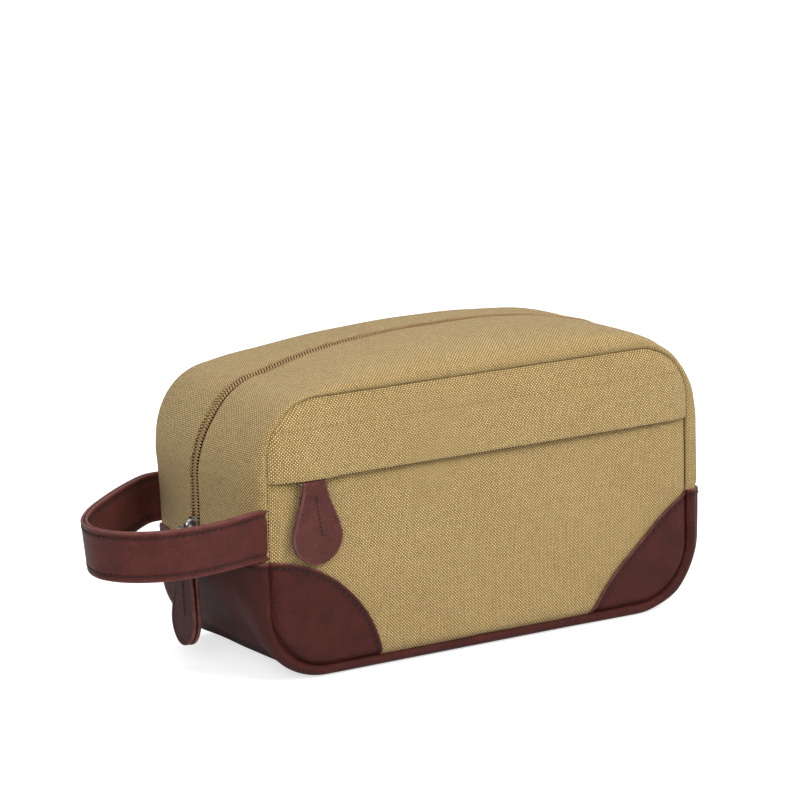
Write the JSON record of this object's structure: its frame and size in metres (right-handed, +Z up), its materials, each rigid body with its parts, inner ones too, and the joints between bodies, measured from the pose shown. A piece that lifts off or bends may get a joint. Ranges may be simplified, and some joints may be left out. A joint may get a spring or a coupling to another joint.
{
  "type": "shaving kit bag",
  "caption": "Soft canvas toiletry bag with a zip mouth, leather base and corners, flapped front zip pocket and end carrying loop.",
  "frame": {"origin": "middle of the flat underside, midway between the end seams and between the front and rear seams", "axes": "+X to the right along the bag seen from the front, +Y from front to back, +Z up"},
  "size_m": [0.343, 0.1173, 0.1566],
  "materials": {
    "canvas": "plain weave cotton canvas, washed khaki, matt",
    "leather": "fine-grained reddish brown leather, soft sheen",
    "lining": "thin dark brown woven lining",
    "board": "plain stiffener",
    "zip_tape": "brown woven zip tape",
    "zip_coil": "brown nylon coil, slight sheen",
    "nickel": "nickel plated, polished"
  },
  "bodies": {
    "base": {"base_gusset": "leather", "base_board": "board", "base_lining": "lining", "front_panel_lower": "canvas", "rear_panel_lower": "canvas", "pocket_wall_lower": "lining", "front_lining_lower": "lining", "rear_lining_lower": "lining", "patch_front_left": "leather", "patch_front_right": "leather", "patch_rear_left": "leather", "patch_rear_right": "leather"},
    "front_half": {"pocket_face": "canvas", "front_flap": "canvas", "pocket_wall": "lining", "front_lining": "lining", "front_gusset": "canvas", "front_gusset_lining": "lining", "main_tape_front": "zip_tape", "main_coil_front": "zip_coil", "main_stop_front": "nickel", "pocket_tape_lower": "zip_tape", "pocket_tape_upper": "zip_tape", "pocket_coil_lower": "zip_coil", "pocket_coil_upper": "zip_coil", "pocket_stop_left": "nickel", "pocket_stop_right": "nickel"},
    "rear_half": {"rear_panel": "canvas", "rear_lining": "lining", "rear_gusset": "canvas", "rear_gusset_lining": "lining", "main_tape_rear": "zip_tape", "main_coil_rear": "zip_coil", "main_stop_rear": "nickel"},
    "main_slider": {"main_slider": "nickel"},
    "main_pull_loop": {"main_pull_loop": "nickel"},
    "main_pull": {"main_pull": "leather"},
    "pocket_slider": {"pocket_slider": "nickel"},
    "pocket_pull": {"pocket_pull": "leather"},
    "handle": {"handle_outer": "leather", "handle_inner": "leather"}
  },
  "joints": [
    {"name": "mouth_front", "type": "hinge", "parent": "base", "child": "front_half", "pos_m": [0, -0.0545, 0.0623], "axis": [1, 0, 0], "range_deg": [0, 15]},
    {"name": "mouth_rear", "type": "hinge", "parent": "base", "child": "rear_half", "pos_m": [0, 0.0545, 0.0623], "axis": [-1, 0, 0], "range_deg": [0, 15]},
    {"name": "main_zip", "type": "slide", "parent": "front_half", "child": "main_slider", "axis": [0, 0, 1], "range_m": [0, 0.021]},
    {"name": "main_loop_swing", "type": "hinge", "parent": "main_slider", "child": "main_pull_loop", "pos_m": [-0.1402, 0, 0.0707], "axis": [-1, 0, 0], "range_deg": [-20, 20]},
    {"name": "main_pull_flip", "type": "hinge", "parent": "main_pull_loop", "child": "main_pull", "pos_m": [-0.1402, 0, 0.0637], "axis": [0, 1, 0], "range_deg": [0, 55]},
    {"name": "pocket_zip", "type": "slide", "parent": "front_half", "child": "pocket_slider", "axis": [1, 0, 0], "range_m": [0, 0.202]},
    {"name": "pocket_pull_flip", "type": "hinge", "parent": "pocket_slider", "child": "pocket_pull", "pos_m": [-0.101, -0.0588, 0.0967], "axis": [-1, 0, 0], "range_deg": [0, 100]},
    {"name": "handle_bend", "type": "hinge", "parent": "base", "child": "handle", "pos_m": [-0.133, 0, 0.0755], "axis": [0, 1, 0], "range_deg": [-15, 5], "stiffness_Nm_per_rad": 0.4, "springref_deg": 0.95}
  ]
}
